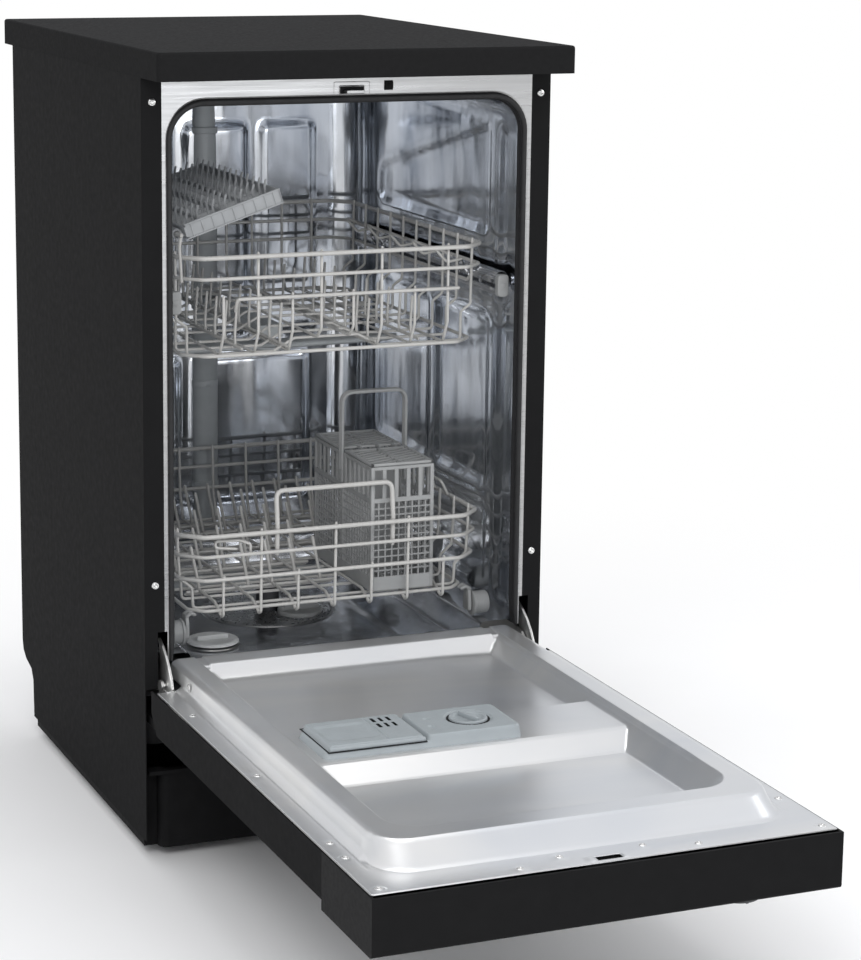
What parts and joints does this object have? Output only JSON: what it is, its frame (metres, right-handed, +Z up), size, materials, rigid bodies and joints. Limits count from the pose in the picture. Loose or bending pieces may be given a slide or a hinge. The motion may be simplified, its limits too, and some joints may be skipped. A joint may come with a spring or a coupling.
{
  "type": "freestanding dishwasher",
  "caption": "Slimline freestanding dishwasher, door open: steel tub, drop-down door with dispenser, two sliding wire racks, spray arms, basket and worktop.",
  "frame": {"origin": "on the floor, in the middle of the floor rectangle that the cabinet and the open door cover together", "axes": "+Z up; the front faces -Y and the open door points to -Y; +X to the right seen from the front"},
  "size_m": [0.45, 1.1696, 0.845],
  "materials": {
    "black_paint": "satin powder coat",
    "worktop_black": "fine matte laminate",
    "black_plastic": "matte moulded",
    "tub_steel": "bright rolled stainless",
    "frame_steel": "fine brushed",
    "galvanised": "zinc plated",
    "gasket_rubber": "matte",
    "grey_plastic": "satin moulded",
    "dispenser_plastic": "satin moulded",
    "wire_coating": "coated wire",
    "chrome_steel": "bright plated",
    "arm_plastic": "moulded, faint sheen",
    "white_plastic": "moulded",
    "pump_dark": "moulded",
    "concrete_block": "rough cast",
    "screw_steel": "nickel plated",
    "green_board": "board lacquer",
    "button_grey": "satin",
    "filter_steel": "perforated sheet"
  },
  "bodies": {
    "cabinet": {"worktop": "worktop_black", "left_side_panel": "black_paint", "right_side_panel": "black_paint", "rear_panel": "galvanised", "base_tray": "black_plastic", "plinth": "black_plastic", "levelling_feet": "black_plastic", "tub_shell": "tub_steel", "tub_floor": "tub_steel", "front_frame": "frame_steel", "door_gasket": "gasket_rubber", "latch_striker": "frame_steel", "door_switch": "black_plastic", "cabinet_screws": "screw_steel", "upper_rail_channels": "chrome_steel", "sump": "pump_dark", "filter_plate": "filter_steel", "salt_tank": "white_plastic", "circulation_pump": "pump_dark", "drain_pump": "pump_dark", "heater": "galvanised", "inlet_and_outlet_fittings": "white_plastic", "water_jacket": "white_plastic", "counterweight": "concrete_block", "spray_feed_parts": "arm_plastic", "hinge_brackets": "galvanised", "door_springs": "galvanised"},
    "door": {"door_outer_panel": "black_paint", "control_panel": "black_plastic", "control_board": "green_board", "door_liner": "frame_steel", "door_screws": "screw_steel", "door_latch": "black_plastic", "hinge_arms": "galvanised", "dispenser_body": "dispenser_plastic"},
    "dispenser_lid": {"dispenser_lid": "dispenser_plastic"},
    "rinse_aid_cap": {"rinse_aid_cap": "dispenser_plastic"},
    "program_knob": {"program_knob": "button_grey"},
    "power_button": {"power_button": "button_grey"},
    "start_button": {"start_button": "button_grey"},
    "rail_middles": {"upper_rail_middles": "chrome_steel"},
    "upper_rack": {"upper_rack_walls": "wire_coating", "upper_rack_floor": "wire_coating", "upper_rack_rails": "chrome_steel", "rail_end_caps": "grey_plastic", "upper_feed_tube": "arm_plastic"},
    "comb_shelf": {"comb_shelf": "grey_plastic"},
    "upper_spray_arm": {"upper_spray_arm": "arm_plastic"},
    "lower_rack": {"lower_rack_walls": "wire_coating", "lower_rack_floor": "wire_coating", "wheel_carriers": "grey_plastic", "cutlery_basket": "grey_plastic"},
    "basket_lid": {"basket_lid": "grey_plastic"},
    "wheels_row_1": {"wheels_row_1": "grey_plastic"},
    "wheels_row_2": {"wheels_row_2": "grey_plastic"},
    "wheels_row_3": {"wheels_row_3": "grey_plastic"},
    "wheels_row_4": {"wheels_row_4": "grey_plastic"},
    "lower_spray_arm": {"lower_spray_arm": "arm_plastic"},
    "twist_filter": {"twist_filter": "grey_plastic"},
    "salt_cap": {"salt_cap": "white_plastic"}
  },
  "joints": [
    {"name": "door_hinge", "type": "hinge", "parent": "cabinet", "child": "door", "pos_m": [0, 0.037, 0.191], "axis": [-1, 0, 0], "range_deg": [0, 90]},
    {"name": "dispenser_lid_hinge", "type": "hinge", "parent": "door", "child": "dispenser_lid", "pos_m": [-0.0975, -0.282, 0.2156], "axis": [1, 0, 0], "range_deg": [0, 70]},
    {"name": "rinse_aid_cap_turn", "type": "hinge", "parent": "door", "child": "rinse_aid_cap", "pos_m": [0.0115, -0.245, 0.216], "axis": [0, 0, 1], "range_deg": [0, 90]},
    {"name": "program_knob_turn", "type": "hinge", "parent": "door", "child": "program_knob", "pos_m": [0.15, -0.5293, 0.139], "axis": [0, 0, 1], "continuous": true},
    {"name": "power_button_press", "type": "slide", "parent": "door", "child": "power_button", "axis": [0, 0, 1], "range_m": [0, 0.0025], "stiffness_N_per_m": 400, "springref_m": -0.001},
    {"name": "start_button_press", "type": "slide", "parent": "door", "child": "start_button", "axis": [0, 0, 1], "range_m": [0, 0.0025], "stiffness_N_per_m": 400, "springref_m": -0.001},
    {"name": "upper_rack_slide", "type": "slide", "parent": "cabinet", "child": "upper_rack", "axis": [0, 1, 0], "range_m": [-0.3, 0]},
    {"name": "rail_middle_slide", "type": "slide", "parent": "cabinet", "child": "rail_middles", "axis": [0, 1, 0], "range_m": [-0.15, 0]},
    {"name": "comb_shelf_fold", "type": "hinge", "parent": "upper_rack", "child": "comb_shelf", "pos_m": [-0.17, 0.217, 0.652], "axis": [0, -1, 0], "range_deg": [0, 62]},
    {"name": "upper_spray_arm_spin", "type": "hinge", "parent": "upper_rack", "child": "upper_spray_arm", "pos_m": [0, 0.297, 0.4945], "axis": [0, 0, 1], "continuous": true},
    {"name": "lower_rack_slide", "type": "slide", "parent": "cabinet", "child": "lower_rack", "axis": [0, 1, 0], "range_m": [-0.32, 0]},
    {"name": "basket_lid_hinge", "type": "hinge", "parent": "lower_rack", "child": "basket_lid", "pos_m": [0.117, 0.1765, 0.39375], "axis": [0, 1, 0], "range_deg": [0, 60]},
    {"name": "wheels_row_1_roll", "type": "hinge", "parent": "lower_rack", "child": "wheels_row_1", "pos_m": [0, 0.099, 0.2287], "axis": [1, 0, 0], "range_deg": [0, 1600]},
    {"name": "wheels_row_2_roll", "type": "hinge", "parent": "lower_rack", "child": "wheels_row_2", "pos_m": [0, 0.201, 0.2287], "axis": [1, 0, 0], "range_deg": [0, 1600]},
    {"name": "wheels_row_3_roll", "type": "hinge", "parent": "lower_rack", "child": "wheels_row_3", "pos_m": [0, 0.355, 0.2287], "axis": [1, 0, 0], "range_deg": [0, 1600]},
    {"name": "wheels_row_4_roll", "type": "hinge", "parent": "lower_rack", "child": "wheels_row_4", "pos_m": [0, 0.457, 0.2287], "axis": [1, 0, 0], "range_deg": [0, 1600]},
    {"name": "lower_spray_arm_spin", "type": "hinge", "parent": "cabinet", "child": "lower_spray_arm", "pos_m": [0, 0.297, 0.2265], "axis": [0, 0, 1], "continuous": true},
    {"name": "twist_filter_turn", "type": "hinge", "parent": "cabinet", "child": "twist_filter", "pos_m": [0.03, 0.271, 0.188], "axis": [0, 0, 1], "range_deg": [0, 90]},
    {"name": "salt_cap_turn", "type": "hinge", "parent": "cabinet", "child": "salt_cap", "pos_m": [-0.104, 0.185, 0.19], "axis": [0, 0, 1], "range_deg": [0, 360]}
  ],
  "couplings": [
    {"joint": "rail_middle_slide", "follows": "upper_rack_slide", "ratio": 0.5},
    {"joint": "wheels_row_1_roll", "follows": "lower_rack_slide", "rad_per_m": -73.529},
    {"joint": "wheels_row_2_roll", "follows": "lower_rack_slide", "rad_per_m": -73.529},
    {"joint": "wheels_row_3_roll", "follows": "lower_rack_slide", "rad_per_m": -73.529},
    {"joint": "wheels_row_4_roll", "follows": "lower_rack_slide", "rad_per_m": -73.529}
  ]
}
